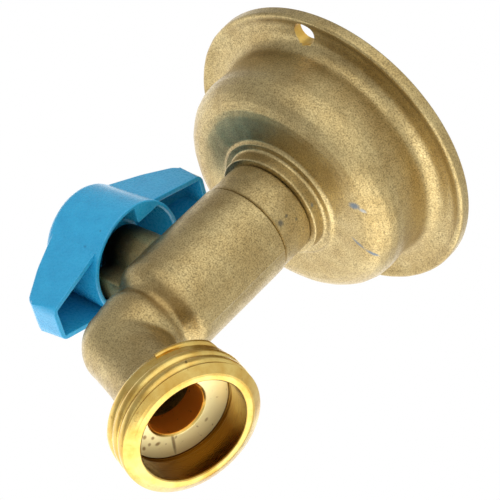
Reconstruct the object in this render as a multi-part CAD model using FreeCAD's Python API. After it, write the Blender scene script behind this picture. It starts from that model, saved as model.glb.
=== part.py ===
import FreeCAD, Part
import math
import os

# Hose bibb, in millimetres. The wall is the plane y = 0 and the tap stands out from it
# towards -Y, on the Y axis. The spindle and its handle point up, along +Z.

# Water path
waterway_radius = 5.5

# Distances in front of the wall, and from the spindle on to the bend
body_end_distance = 21.8
stem_distance = 45.4
stem_to_bend = 20.0

# Cast body
chamber_radius = 10.5
chamber_bore_radius = 8.8
chamber_nose_length = 9.6
chamber_nose_rounding = 2.8
neck_radius = 7.7
neck_slope = 1.9
neck_rounding = 1.4
bead_radius = 8.3
bead_step = 2.6
bead_length = 3.4
bead_rounding = 1.5
elbow_radius = 8.1
body_end_rounding = 0.5
body_mouth_chamfer = 0.6

# Outlet, measured along its own axis from the bend
outlet_tilt = 20.6
outlet_length = 27.4
outlet_tube_radius = 7.5
outlet_shoulder_rounding = 1.2
hose_thread_radius = 13.5
hose_thread_length = 8.4
hose_nose_radius = 12.8
hose_nose_length = 0.6
hose_rear_chamfer = 0.5
hose_seat_radius = 10.4
hose_seat_depth = 6.8
hose_mouth_chamfer = 0.4
hose_undercut_depth = 0.35
hose_undercut_width = 1.0
outlet_bore_chamfer = 0.6

# Ball, seats and the ring that holds them
ball_radius = 8.2
ball_slot_width = 3.0
ball_slot_floor = 6.1
seat_near = 4.6
seat_far = 7.2
seat_bore_step = 0.2
seat_gap = 0.1
bore_fit = 0.05
retainer_length = 5.0
retainer_slot_width = 2.4
retainer_slot_depth = 1.6
retainer_to_spigot = 0.5

# Boss, spindle and its seals
boss_radius = 5.8
boss_top = 18.6
stop_radius = 9.8
stop_top = 17.4
stem_radius = 3.5
stem_fit = 0.05
collar_radius = 4.5
collar_play = 0.1
collar_bottom = 9.0
collar_height = 1.6
thrust_gap = 0.05
stem_washer_thickness = 0.8
tang_length = 5.6
tang_play = 0.1
ring_section = 0.95
ring_lower_height = 13.3
ring_upper_height = 16.0
ring_groove_play = 0.15
drive_radius = 3.3
drive_width = 5.0
drive_bottom = 19.8
drive_top = 25.4

# Handle
skirt_bottom = 14.2
skirt_radius = 11.75
skirt_wall = 1.0
hub_radius = 11.1
dome_base = 27.7
dome_top = 31.6
dome_wall = 1.5
socket_radius = 6.6
socket_bottom = 19.5
wing_reach = 22.2
wing_tip_half = 3.9
wing_middle_half = 10.5
wing_draft = 0.5
wing_bottom = 15.4
wing_top = 27.9
wing_tip_top = 22.5
wing_shoulder_reach = 15.5
wing_shoulder_top = 25.6
wing_wall = 1.1
wing_roof = 1.3
wing_corner = 1.2
wing_tip_rounding = 2.0
wing_shoulder_rounding = 14.0
lug_face = 7.05
lug_side = 2.5
lug_gap = 0.3

# Bush, screw, washer and cap of the handle
insert_radius = 5.0
insert_waist_depth = 0.6
insert_waist_width = 1.8
insert_top = 25.6
screw_radius = 1.75
screw_fit = 0.05
screw_length = 7.5
screw_hole_depth = 8.5
screw_head_radius = 3.5
screw_head_height = 2.2
screw_head_rounding = 0.9
screw_slot_width = 0.9
screw_slot_depth = 1.0
screw_washer_radius = 3.9
screw_washer_hole_radius = 1.95
screw_washer_thickness = 0.8
recess_radius = 4.4
cap_fit = 0.05
cap_thickness = 1.3
cap_wall = 0.9
cap_height = 2.4

# Flange piece: wall flange, bell, stepped rings and spigot
flange_width = 7.1
flange_thickness = 2.5
flange_rounding = 0.9
flange_lip_width = 1.1
flange_channel_depth = 0.5
flange_channel_width = 1.2
bell_radius = 25.5
bell_taper = 0.5
bell_base_rounding = 2.2
bell_depth = 18.2
bell_rounding = 6.4
bell_wall = 2.4
bell_crown = 0.2
outer_ring_radius = 13.1
outer_ring_height = 0.6
inner_ring_radius = 11.5
ring_rounding = 0.3
inlet_boss_radius = 13.0
inlet_setback = 0.8
inlet_thread_radius = 9.4
inlet_thread_depth = 14.5
inlet_chamfer = 0.9
inlet_cone_length = 2.0
hole_radius = 2.4
spigot_tip_chamfer = 0.5

# Seal between body and flange piece
body_seal_section = 1.4
body_seal_setback = 1.6
body_seal_play = 0.2

# Places that follow from the sizes above
outlet_distance = stem_distance + stem_to_bend
ball_place = FreeCAD.Vector(0, -stem_distance, 0)
bend_place = FreeCAD.Vector(0, -outlet_distance, 0)
tilt = math.radians(outlet_tilt)
outlet_direction = FreeCAD.Vector(0, -math.sin(tilt), -math.cos(tilt))
body_end = -body_end_distance
front_shoulder = -stem_distance - seat_far
rear_seat_end = -stem_distance + seat_far
retainer_end = rear_seat_end + retainer_length
spigot_end = retainer_end + retainer_to_spigot
collar_top = collar_bottom + collar_height
washer_bottom = collar_top + thrust_gap
boss_shoulder = washer_bottom + stem_washer_thickness
stem_bore_radius = stem_radius + stem_fit
sleeve_radius = chamber_bore_radius - bore_fit
flange_radius = bell_radius + flange_width
bell_base_radius = bell_radius - bell_taper
hole_circle_radius = (bell_base_radius + flange_radius) / 2
through = 100.0


def rounded_wire(corners, place):
    # Corners are (u, v, rounding); each rounding becomes an arc that is tangent to both sides.
    flat = [FreeCAD.Vector(u, v, 0) for u, v, rounding in corners]
    joints = []
    for i, (u, v, rounding) in enumerate(corners):
        here = flat[i]
        if rounding == 0:
            joints.append((here, None, here))
            continue
        back = (flat[i - 1] - here).normalize()
        ahead = (flat[(i + 1) % len(flat)] - here).normalize()
        half = back.getAngle(ahead) / 2
        reach = rounding / math.tan(half)
        inward = (back + ahead).normalize() * (rounding / math.sin(half) - rounding)
        joints.append((here + back * reach, here + inward, here + ahead * reach))
    edges = []
    for i, (start, middle, end) in enumerate(joints):
        if middle is not None:
            points = [place(p.x, p.y) for p in (start, middle, end)]
            edges.append(Part.Arc(*points).toShape())
        following = joints[(i + 1) % len(joints)][0]
        if (following - end).Length > 1e-6:
            edges.append(Part.LineSegment(place(end.x, end.y), place(following.x, following.y)).toShape())
    return Part.Wire(edges)


def about_body(corners):
    # Turned piece on the Y axis; corners are (radius, y, rounding).
    face = Part.Face(rounded_wire(corners, lambda r, y: FreeCAD.Vector(r, y, 0)))
    return face.revolve(FreeCAD.Vector(0, 0, 0), FreeCAD.Vector(0, 1, 0), 360)


def about_stem(corners):
    # Turned piece on the spindle's axis; corners are (radius, z, rounding).
    face = Part.Face(rounded_wire(corners, lambda r, z: FreeCAD.Vector(r, -stem_distance, z)))
    return face.revolve(ball_place, FreeCAD.Vector(0, 0, 1), 360)


def about_outlet(corners):
    # Turned piece on the outlet's axis; corners are (radius, distance from the bend, rounding).
    face = Part.Face(rounded_wire(corners, lambda r, t: bend_place + FreeCAD.Vector(r, 0, 0) + outlet_direction * t))
    return face.revolve(bend_place, outlet_direction, 360)


def body_cylinder(radius, y_from, y_to):
    return Part.makeCylinder(radius, y_to - y_from, FreeCAD.Vector(0, y_from, 0), FreeCAD.Vector(0, 1, 0))


def stem_cylinder(radius, z_from, z_to):
    return Part.makeCylinder(radius, z_to - z_from, ball_place + FreeCAD.Vector(0, 0, z_from))


def stem_ring(inner, outer, z_from, z_to):
    return stem_cylinder(outer, z_from, z_to).cut(stem_cylinder(inner, z_from - 1, z_to + 1))


def stem_box(x_size, y_size, z_from, z_to):
    corner = ball_place + FreeCAD.Vector(-x_size / 2, -y_size / 2, z_from)
    return Part.makeBox(x_size, y_size, z_to - z_from, corner)


def save(node, shape):
    shape.exportStep("parts/%s.step" % node)
    print(node, "solids", len(shape.Solids), "volume", round(shape.Volume, 1), "valid", shape.isValid())


# Valve body
def outlet_outside():
    thread_start = outlet_length - hose_thread_length
    return about_outlet([
        (0, 0, 0),
        (outlet_tube_radius, 0, 0),
        (outlet_tube_radius, thread_start - hose_rear_chamfer, outlet_shoulder_rounding),
        (hose_thread_radius - hose_rear_chamfer, thread_start - hose_rear_chamfer, 0),
        (hose_thread_radius, thread_start, 0),
        (hose_thread_radius, outlet_length - hose_nose_length, 0),
        (hose_nose_radius, outlet_length, 0),
        (0, outlet_length, 0)])


def outlet_inside():
    seat_place = outlet_length - hose_seat_depth
    return about_outlet([
        (0, 0, 0),
        (waterway_radius, 0, 0),
        (waterway_radius, seat_place - outlet_bore_chamfer, 0),
        (waterway_radius + outlet_bore_chamfer, seat_place, 0),
        (hose_seat_radius + hose_undercut_depth, seat_place, 0),
        (hose_seat_radius + hose_undercut_depth, seat_place + hose_undercut_width, 0),
        (hose_seat_radius, seat_place + hose_undercut_width, 0),
        (hose_seat_radius, outlet_length - hose_mouth_chamfer, 0),
        (hose_seat_radius + hose_mouth_chamfer, outlet_length, 0),
        (hose_seat_radius + hose_mouth_chamfer, outlet_length + 1, 0),
        (0, outlet_length + 1, 0)])


def chamber_outside():
    # A low bead runs round the neck between the chamber and the bend.
    chamber_nose = -stem_distance - chamber_nose_length
    neck_start = chamber_nose - neck_slope
    bead_crest = neck_start - bead_step
    bead_end = neck_start - bead_length
    return about_body([
        (0, body_end, 0),
        (chamber_radius, body_end, body_end_rounding),
        (chamber_radius, chamber_nose, chamber_nose_rounding),
        (neck_radius, neck_start, neck_rounding),
        (bead_radius, bead_crest, bead_rounding),
        (neck_radius, bead_end - bead_rounding, neck_rounding / 2),
        (neck_radius, -outlet_distance, 0),
        (0, -outlet_distance, 0)])


def boss_outside():
    # The stop beside the boss has two flat sides. A lug of the handle meets one of them at each
    # end of the quarter turn.
    open_side = -(lug_face - lug_gap)
    shut_side = lug_side - lug_gap
    corner = ball_place + FreeCAD.Vector(open_side, -stop_radius, 0)
    stop = Part.makeBox(shut_side - open_side, stop_radius, stop_top, corner)
    stop = stop.common(stem_cylinder(stop_radius, 0, stop_top))
    return stem_cylinder(boss_radius, 0, boss_top).fuse(stop)


def body_inside():
    bore = about_body([
        (0, front_shoulder, 0),
        (chamber_bore_radius, front_shoulder, 0),
        (chamber_bore_radius, body_end - body_mouth_chamfer, 0),
        (chamber_bore_radius + body_mouth_chamfer, body_end, 0),
        (chamber_bore_radius + body_mouth_chamfer, body_end + 1, 0),
        (0, body_end + 1, 0)])
    passage = body_cylinder(waterway_radius, -outlet_distance, front_shoulder + 1)
    bend = Part.makeSphere(waterway_radius, bend_place)
    collar_pocket = stem_cylinder(collar_radius + collar_play, 0, boss_shoulder)
    stem_bore = stem_cylinder(stem_bore_radius, 0, boss_top + 1)
    return [bore, passage, bend, outlet_inside(), collar_pocket, stem_bore]


def valve_body():
    elbow = Part.makeSphere(elbow_radius, bend_place)
    outside = chamber_outside().fuse([elbow, outlet_outside(), boss_outside()])
    return outside.cut(body_inside()).removeSplitter()


# Flange piece that is screwed to the wall and holds the body
def wall_flange():
    channel_outer = flange_radius - flange_lip_width
    channel_inner = channel_outer - flange_channel_width
    channel_floor = -flange_thickness + flange_channel_depth
    bell_front = -bell_depth
    ring_front = bell_front - bell_crown - outer_ring_height
    outside = about_body([
        (0, 0, 0),
        (flange_radius, 0, 0),
        (flange_radius, -flange_thickness, flange_rounding),
        (channel_outer, -flange_thickness, 0),
        (channel_inner, channel_floor, 0),
        (bell_base_radius, channel_floor, bell_base_rounding),
        (bell_radius, bell_front, bell_rounding),
        (outer_ring_radius, bell_front - bell_crown, ring_rounding),
        (outer_ring_radius, ring_front, ring_rounding),
        (inner_ring_radius, ring_front, ring_rounding),
        (inner_ring_radius, body_end, ring_rounding),
        (sleeve_radius, body_end, 0),
        (sleeve_radius, spigot_end + spigot_tip_chamfer, 0),
        (sleeve_radius - spigot_tip_chamfer, spigot_end, 0),
        (0, spigot_end, 0)])
    bell_roof = bell_front + bell_wall
    bell_bore_radius = bell_base_radius - bell_wall
    hollow = about_body([
        (inlet_boss_radius, 1, 0),
        (bell_bore_radius, 1, 0),
        (bell_bore_radius, bell_roof, bell_rounding - bell_wall),
        (inlet_boss_radius, bell_roof, ring_rounding)])
    setback = body_cylinder(inlet_boss_radius + 1, -inlet_setback, 1)
    inlet_end = -inlet_setback - inlet_thread_depth
    water = about_body([
        (0, 1, 0),
        (inlet_thread_radius + inlet_chamfer, 1, 0),
        (inlet_thread_radius + inlet_chamfer, -inlet_setback, 0),
        (inlet_thread_radius, -inlet_setback - inlet_chamfer, 0),
        (inlet_thread_radius, inlet_end, 0),
        (waterway_radius, inlet_end - inlet_cone_length, 0),
        (waterway_radius, spigot_end - 1, 0),
        (0, spigot_end - 1, 0)])
    seal_groove = body_seal_band(body_seal_section / 2 + body_seal_play)
    holes = []
    for side in (-1, 1):
        start = FreeCAD.Vector(side * hole_circle_radius, 1, 0)
        holes.append(Part.makeCylinder(hole_radius, flange_thickness + 2, start, FreeCAD.Vector(0, -1, 0)))
    return outside.cut([hollow, setback, water, seal_groove] + holes).removeSplitter()


def body_seal_centre():
    # Distance of the ring's centre circle from the axis, and its place along the axis
    return chamber_bore_radius - body_seal_section / 2, body_end - body_seal_setback


def body_seal_band(half_width):
    radius, place = body_seal_centre()
    groove_floor = radius - body_seal_section / 2
    blank = body_cylinder(chamber_radius, place - half_width, place + half_width)
    return blank.cut(body_cylinder(groove_floor, place - half_width - 1, place + half_width + 1))


def body_seal():
    radius, place = body_seal_centre()
    centre = FreeCAD.Vector(0, place, 0)
    return Part.makeTorus(radius, body_seal_section / 2, centre, FreeCAD.Vector(0, 1, 0))


# Ball and its seats
def ball():
    solid = Part.makeSphere(ball_radius, ball_place)
    bore = body_cylinder(waterway_radius, -stem_distance - ball_radius, -stem_distance + ball_radius)
    slot = stem_box(2 * ball_radius, ball_slot_width, ball_slot_floor, ball_radius)
    return solid.cut([bore, slot])


def seat(side):
    # side is -1 in front of the ball and 1 behind it
    ends = sorted((-stem_distance + side * seat_near, -stem_distance + side * seat_far))
    ring = body_cylinder(sleeve_radius, ends[0], ends[1])
    hole = body_cylinder(waterway_radius + seat_bore_step, ends[0] - 1, ends[1] + 1)
    return ring.cut([hole, Part.makeSphere(ball_radius + seat_gap, ball_place)])


def seat_retainer():
    ring = body_cylinder(sleeve_radius, rear_seat_end, retainer_end)
    bore = body_cylinder(waterway_radius, rear_seat_end - 1, retainer_end + 1)
    corner = FreeCAD.Vector(-chamber_radius, retainer_end - retainer_slot_depth, -retainer_slot_width / 2)
    slot = Part.makeBox(2 * chamber_radius, retainer_slot_depth + 1, retainer_slot_width, corner)
    return ring.cut([bore, slot])


# Spindle with its washer and rings
def ring_groove(height):
    half = ring_section / 2 + ring_groove_play
    floor = stem_radius - ring_section
    return stem_ring(floor, stem_radius + 1, height - half, height + half)


def stem():
    tang = stem_box(tang_length, ball_slot_width - 2 * tang_play, ball_slot_floor + tang_play, collar_bottom)
    collar = stem_cylinder(collar_radius, collar_bottom, collar_top)
    shaft = stem_cylinder(stem_radius, collar_top, drive_bottom)
    drive = stem_cylinder(drive_radius, drive_bottom, drive_top)
    drive = drive.common(stem_box(2 * drive_radius, drive_width, drive_bottom, drive_top))
    tapped_hole = stem_cylinder(screw_radius, drive_top - screw_hole_depth, drive_top + 1)
    solid = collar.fuse([tang, shaft, drive]).removeSplitter()
    return solid.cut([tapped_hole, ring_groove(ring_lower_height), ring_groove(ring_upper_height)])


def stem_washer():
    return stem_ring(stem_bore_radius, collar_radius, washer_bottom, boss_shoulder)


def stem_o_ring(height):
    # The ring runs in the boss bore with the spindle's own clearance.
    radius = stem_radius - ring_section / 2
    return Part.makeTorus(radius, ring_section / 2, ball_place + FreeCAD.Vector(0, 0, height))


# Handle
def hub(inset, bottom, top_inset):
    # Drafted skirt under a low elliptical dome, drawn in by the inset
    skirt_foot = FreeCAD.Vector(skirt_radius - inset, -stem_distance, bottom)
    skirt_head = FreeCAD.Vector(hub_radius - inset, -stem_distance, dome_base)
    crown = ball_place + FreeCAD.Vector(0, 0, dome_top - top_inset)
    centre = ball_place + FreeCAD.Vector(0, 0, dome_base)
    ellipse = Part.Ellipse(skirt_head, crown, centre)
    foot = ball_place + FreeCAD.Vector(0, 0, bottom)
    edges = [
        Part.LineSegment(foot, skirt_foot).toShape(),
        Part.LineSegment(skirt_foot, skirt_head).toShape(),
        ellipse.toShape(0, math.pi / 2),
        Part.LineSegment(crown, foot).toShape()]
    return Part.Face(Part.Wire(edges)).revolve(ball_place, FreeCAD.Vector(0, 0, 1), 360)


def wings(inset, roof, bottom):
    # Both wings in one: a drafted plan, cut to its side view
    def plan(height):
        drawn_in = inset + wing_draft * (height - wing_bottom) / (wing_top - wing_bottom)
        tip = wing_tip_half - drawn_in
        middle = wing_middle_half - drawn_in
        reach = wing_reach - inset
        corner = max(wing_corner - inset, wing_corner / 4)
        corners = [(tip, reach, corner), (middle, 0, 0), (tip, -reach, corner),
                   (-tip, -reach, corner), (-middle, 0, 0), (-tip, reach, corner)]
        return rounded_wire(corners, lambda x, y: FreeCAD.Vector(x, y - stem_distance, height))
    body = Part.makeLoft([plan(bottom), plan(dome_top)], True, True)
    reach = wing_reach - inset
    side_view = [
        (reach, bottom, 0),
        (reach, wing_tip_top - roof, wing_tip_rounding),
        (wing_shoulder_reach, wing_shoulder_top - roof, wing_shoulder_rounding),
        (hub_radius * 0.7, wing_top - roof, 0),
        (-hub_radius * 0.7, wing_top - roof, 0),
        (-wing_shoulder_reach, wing_shoulder_top - roof, wing_shoulder_rounding),
        (-reach, wing_tip_top - roof, wing_tip_rounding),
        (-reach, bottom, 0)]
    side = Part.Face(rounded_wire(side_view, lambda y, z: FreeCAD.Vector(-through / 2, y - stem_distance, z)))
    return body.common(side.extrude(FreeCAD.Vector(through, 0, 0)))


def stop_lugs():
    # Two blocks that fill the skirt behind a straight inner face, half a turn apart
    corner = ball_place + FreeCAD.Vector(lug_face, lug_side, skirt_bottom)
    lug = Part.makeBox(skirt_radius - lug_face, skirt_radius - lug_side, dome_top - skirt_bottom, corner)
    other_lug = lug.copy()
    other_lug.rotate(ball_place, FreeCAD.Vector(0, 0, 1), 180)
    return [lug, other_lug]


def handle():
    outside = hub(0, skirt_bottom, 0)
    wing_hollow = wings(wing_wall, wing_roof, wing_bottom - 1).cut(outside)
    shell = outside.fuse(wings(0, 0, wing_bottom)).cut(wing_hollow)
    inside = hub(skirt_wall, skirt_bottom - 1, dome_wall)
    socket = stem_cylinder(socket_radius, socket_bottom, dome_top)
    cavity = inside.cut([socket] + stop_lugs())
    stem_hole = stem_cylinder(stem_bore_radius, socket_bottom - 1, drive_bottom)
    recess = stem_cylinder(recess_radius, insert_top, dome_top + 1)
    return shell.cut([cavity, stem_hole, insert_blank(), recess]).removeSplitter()


def insert_blank():
    middle = (drive_bottom + insert_top) / 2
    half = insert_waist_width / 2
    waist = stem_ring(insert_radius - insert_waist_depth, insert_radius + 1, middle - half, middle + half)
    return stem_cylinder(insert_radius, drive_bottom, insert_top).cut(waist)


def handle_insert():
    hole = stem_cylinder(drive_radius + stem_fit, drive_bottom - 1, insert_top + 1)
    flats = stem_box(2 * insert_radius, drive_width + 2 * stem_fit, drive_bottom - 1, insert_top + 1)
    return insert_blank().cut(hole.common(flats))


def screw_washer():
    return stem_ring(screw_washer_hole_radius, screw_washer_radius, insert_top, insert_top + screw_washer_thickness)


def handle_screw():
    under_head = insert_top + screw_washer_thickness
    head_top = under_head + screw_head_height
    solid = about_stem([
        (0, under_head - screw_length, 0),
        (screw_radius - screw_fit, under_head - screw_length, 0),
        (screw_radius - screw_fit, under_head, 0),
        (screw_head_radius, under_head, 0),
        (screw_head_radius, head_top, screw_head_rounding),
        (0, head_top, 0)])
    return solid.cut(stem_box(2 * screw_head_radius, screw_slot_width, head_top - screw_slot_depth, head_top + 1))


def handle_cap():
    # The cap's top is a shallow sphere that continues the dome.
    outer = recess_radius - cap_fit
    rim_drop = (dome_top - dome_base) * (1 - math.sqrt(1 - (outer / hub_radius) ** 2))
    top_radius = (outer ** 2 + rim_drop ** 2) / (2 * rim_drop)
    skirt_end = dome_top - cap_height
    cup = stem_cylinder(outer, skirt_end, dome_top + 1)
    cup = cup.cut(stem_cylinder(outer - cap_wall, skirt_end - 1, dome_top - cap_thickness))
    return cup.common(Part.makeSphere(top_radius, ball_place + FreeCAD.Vector(0, 0, dome_top - top_radius)))


os.makedirs("parts", exist_ok=True)
save("valve_body", valve_body())
save("wall_flange", wall_flange())
save("body_seal", body_seal())
save("ball", ball())
save("front_seat", seat(-1))
save("rear_seat", seat(1))
save("seat_retainer", seat_retainer())
save("stem", stem())
save("stem_washer", stem_washer())
save("stem_ring_lower", stem_o_ring(ring_lower_height))
save("stem_ring_upper", stem_o_ring(ring_upper_height))
save("handle", handle())
save("handle_insert", handle_insert())
save("screw_washer", screw_washer())
save("handle_screw", handle_screw())
save("handle_cap", handle_cap())
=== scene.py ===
import math
import bmesh
import bpy
from mathutils import Matrix, Vector, noise


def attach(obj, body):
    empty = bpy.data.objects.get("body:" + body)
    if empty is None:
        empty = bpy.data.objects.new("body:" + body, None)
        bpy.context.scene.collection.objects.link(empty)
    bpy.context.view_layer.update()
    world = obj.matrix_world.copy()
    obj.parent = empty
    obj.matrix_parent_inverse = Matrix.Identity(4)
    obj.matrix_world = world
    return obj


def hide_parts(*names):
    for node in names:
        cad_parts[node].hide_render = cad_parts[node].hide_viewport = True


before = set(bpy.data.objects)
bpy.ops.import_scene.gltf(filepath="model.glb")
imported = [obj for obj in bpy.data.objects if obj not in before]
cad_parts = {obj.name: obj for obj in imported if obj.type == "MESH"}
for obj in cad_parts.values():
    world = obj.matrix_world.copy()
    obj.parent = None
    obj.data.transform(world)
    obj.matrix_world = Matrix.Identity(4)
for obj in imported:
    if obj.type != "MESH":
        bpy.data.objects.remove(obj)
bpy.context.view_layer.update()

# Sizes are in millimetres. The wall is y = 0, the tap stands out towards -Y and its handle is up.
mm = 0.001
weld = 0.0005  # points closer than this become one
stemPlace = Vector((0, -45.4, 0))
bendPlace = Vector((0, -65.4, 0))
bodyEnd = -21.8  # where the end piece begins
outletTilt = math.radians(20.6)
outletAxis = Vector((0, -math.sin(outletTilt), -math.cos(outletTilt)))
bodyAxis = Vector((0, 1, 0))
stemAxis = Vector((0, 0, 1))
sideways = Vector((1, 0, 0))
origin = Vector((0, 0, 0))


# Small tools for the workshop

def roundOff(bm, geom, cut, segments, affect="EDGES"):
    bmesh.ops.bevel(bm, geom=geom, offset=cut, offset_type="OFFSET", segments=segments,
                    profile=0.5, affect=affect, material=-1)


def drawOutline(bm, corners, segments=6):
    # a closed outline through corners of (place, cut); a cut above 0 rounds its corner
    verts = [bm.verts.new(place) for place, cut in corners]
    for pair in zip(verts, verts[1:] + verts[:1]):
        bm.edges.new(pair)
    for vert, (place, cut) in zip(verts, corners):
        if cut:
            roundOff(bm, [vert], cut, segments, "VERTICES")


def turned(points, centre=origin, axis=bodyAxis, steps=128, span=0.0):
    # a profile of (radius, height, cut) spun right round; a span above 0 divides its long runs
    bm = bmesh.new()
    drawOutline(bm, [(centre + sideways * r + axis * h, cut) for r, h, cut in points])
    if span:
        for edge in list(bm.edges):
            cuts = int(edge.calc_length() / span)
            if cuts:
                bmesh.ops.subdivide_edges(bm, edges=[edge], cuts=cuts)
    bmesh.ops.spin(bm, geom=bm.verts[:] + bm.edges[:], cent=centre, axis=axis, dvec=(0, 0, 0),
                   angle=2 * math.pi, steps=steps, use_merge=True)
    bmesh.ops.remove_doubles(bm, verts=bm.verts, dist=weld)
    bmesh.ops.recalc_face_normals(bm, faces=bm.faces)
    return bm


def rod(radius, low, high, centre, axis, cut=0.0, steps=128):
    # a solid cylinder, its high end rounded by the cut
    return turned([(0, low, 0), (radius, low, 0), (radius, high, cut), (0, high, 0)],
                  centre, axis, steps)


def helix(points, centre, axis, pitch, turns, start, fades=(0.0, 0.0), turnedBy=0.0,
          limit=math.inf, steps=160):
    # a closed section of (radius, height) wound along the axis; each end sinks below the surface
    # over its fade angle, and nothing passes the limit
    bm = bmesh.new()
    count = int(turns * steps)
    verts = [bm.verts.new(centre + sideways * r + axis * (start + h)) for r, h in points]
    section = bm.faces.new(verts)
    bmesh.ops.spin(bm, geom=[section], cent=centre, axis=axis, dvec=axis * (pitch / steps),
                   angle=2 * math.pi * count / steps, steps=count)
    bmesh.ops.remove_doubles(bm, verts=bm.verts, dist=weld)
    lowest = min(r for r, h in points)
    middle = sum(h for r, h in points) / len(points)
    upwards = axis.cross(sideways)
    for vert in bm.verts:
        flat = vert.co - centre
        along = flat.dot(axis)
        across = flat - axis * along
        share = math.atan2(across.dot(upwards), across.dot(sideways)) / (2 * math.pi) % 1
        turn = share + round((along - start - middle) / pitch - share)
        keep = 1.0
        for left, fade in zip((turn, count / steps - turn), fades):
            if fade:
                keep = min(keep, max(left * 360 / fade, 0.0))
        if keep < 1:
            vert.co -= across.normalized() * (across.length - lowest) * (1 - keep)
        vert.co -= axis * max(along - limit, 0.0)
    bmesh.ops.rotate(bm, cent=centre, matrix=Matrix.Rotation(math.radians(turnedBy), 3, axis),
                     verts=bm.verts)
    bmesh.ops.recalc_face_normals(bm, faces=bm.faces)
    return bm


def block(low, high):
    bm = bmesh.new()
    bmesh.ops.create_cube(bm, size=1.0)
    bmesh.ops.scale(bm, vec=Vector(high) - Vector(low), verts=bm.verts)
    bmesh.ops.translate(bm, vec=(Vector(high) + Vector(low)) / 2, verts=bm.verts)
    return bm


def globe(radius, centre, segments):
    bm = bmesh.new()
    bmesh.ops.create_uvsphere(bm, u_segments=segments, v_segments=segments // 2, radius=radius)
    bmesh.ops.translate(bm, vec=centre, verts=bm.verts)
    return bm


def makePiece(name, bm, material, sharpAngle=32.0):
    # the mesh is drawn in millimetres and stored in metres
    bmesh.ops.scale(bm, vec=(mm, mm, mm), verts=bm.verts)
    mesh = bpy.data.meshes.new(name)
    bm.to_mesh(mesh)
    bm.free()
    mesh.shade_smooth()
    mesh.set_sharp_from_angle(angle=math.radians(sharpAngle))
    mesh.materials.append(material)
    piece = bpy.data.objects.new(name, mesh)
    bpy.context.scene.collection.objects.link(piece)
    return piece


def gather(parts):
    # several meshes in one
    whole = bmesh.new()
    for part in parts:
        mesh = bpy.data.meshes.new("part")
        part.to_mesh(mesh)
        part.free()
        whole.from_mesh(mesh)
        bpy.data.meshes.remove(mesh)
    return whole


def settle(piece, sharpAngle):
    # applies the piece's modifiers
    bpy.context.view_layer.update()
    shown = piece.evaluated_get(bpy.context.evaluated_depsgraph_get())
    done = bpy.data.meshes.new_from_object(shown)
    piece.modifiers.clear()
    old = piece.data
    piece.data = done
    bpy.data.meshes.remove(old)
    done.shade_smooth()
    done.set_sharp_from_angle(angle=math.radians(sharpAngle))


def carve(piece, cutters, operation="DIFFERENCE", sharpAngle=32.0):
    for number, cutter in enumerate(cutters):
        tool = makePiece("cutter%d" % number, cutter, piece.data.materials[0])
        step = piece.modifiers.new("cut", "BOOLEAN")
        step.operation = operation
        step.solver = "MANIFOLD"
        step.object = tool
        settle(piece, sharpAngle)
        bpy.data.objects.remove(tool)


def taken(piece):
    # a finished piece back as a bmesh in millimetres
    bm = bmesh.new()
    bm.from_mesh(piece.data)
    bmesh.ops.scale(bm, vec=(1 / mm, 1 / mm, 1 / mm), verts=bm.verts)
    bpy.data.objects.remove(piece)
    return bm


def unevenness(piece, size, height, machined):
    # the slight swells of a casting; machined says which places have none
    bm = bmesh.new()
    bm.from_mesh(piece.data)
    bm.normal_update()
    for vert in bm.verts:
        place = vert.co / mm
        if not machined(place):
            vert.co += vert.normal * noise.noise(place / size) * height * mm
    bm.to_mesh(piece.data)
    bm.free()


def placed(piece, body, slot, *nodes):
    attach(piece, body)
    if nodes:
        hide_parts(*nodes)
    print("made", piece.name, len(piece.data.polygons))


# Materials

def srgb(text):
    # a hex colour as linear light
    values = [int(text[i:i + 2], 16) / 255 for i in (1, 3, 5)]
    return (*[v / 12.92 if v <= 0.04045 else ((v + 0.055) / 1.055) ** 2.4 for v in values], 1.0)


def perMm(size):
    # texture scale that gives features of that many millimetres
    return 1 / (size * mm)


def add(tree, kind, sockets=None, stops=None, **settings):
    # one node: its settings, what its sockets get (a value, a node or an output), a ramp's stops
    node = tree.nodes.new(kind)
    for key, value in settings.items():
        setattr(node, key, value)
    for key, value in (sockets or {}).items():
        if isinstance(value, bpy.types.Node):
            value = next(s for s in value.outputs if s.enabled)
        if isinstance(value, bpy.types.NodeSocket):
            tree.links.new(value, node.inputs[key])
        else:
            node.inputs[key].default_value = value
    for number, (place, value) in enumerate(stops or []):
        bar = node.color_ramp.elements
        spot = bar[number] if number < len(bar) else bar.new(place)
        spot.position = place
        spot.color = srgb(value) if isinstance(value, str) else (value, value, value, 1)
    return node


def newMaterial(name):
    material = bpy.data.materials.new(name)
    material.use_nodes = True
    material.node_tree.nodes.clear()
    return material, material.node_tree


def nearness(tree, coordinates, place, size, softness, along=(1, 0, 0)):
    # 1 near a place on the piece and 0 away from it; size is the half extent, first along the run
    local = add(tree, "ShaderNodeMapping", {
        "Vector": coordinates, "Location": [v * mm for v in place],
        "Rotation": Vector(along).to_track_quat("X", "Z").to_euler(),
        "Scale": [v * mm for v in size]}, vector_type="TEXTURE")
    length = add(tree, "ShaderNodeVectorMath", {0: local}, operation="LENGTH")
    return add(tree, "ShaderNodeValToRGB", {"Fac": length}, ((1 - softness, 1.0), (1.0, 0.0)))


def marked(tree, coordinates, colour, marks):
    # stains, scratches, painted shade and painted reflections: place, half length, half width,
    # direction, colour and strength of each
    for place, length, width, along, tint, strength in marks:
        near = nearness(tree, coordinates, place, (length, width, width), 0.6, along)
        amount = add(tree, "ShaderNodeMath", {0: near, 1: strength}, operation="MULTIPLY")
        # sockets 6 and 7 of a colour mix are A and B
        colour = add(tree, "ShaderNodeMix", {"Factor": amount, 6: colour, 7: srgb(tint)},
                     data_type="RGBA")
    return colour


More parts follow.
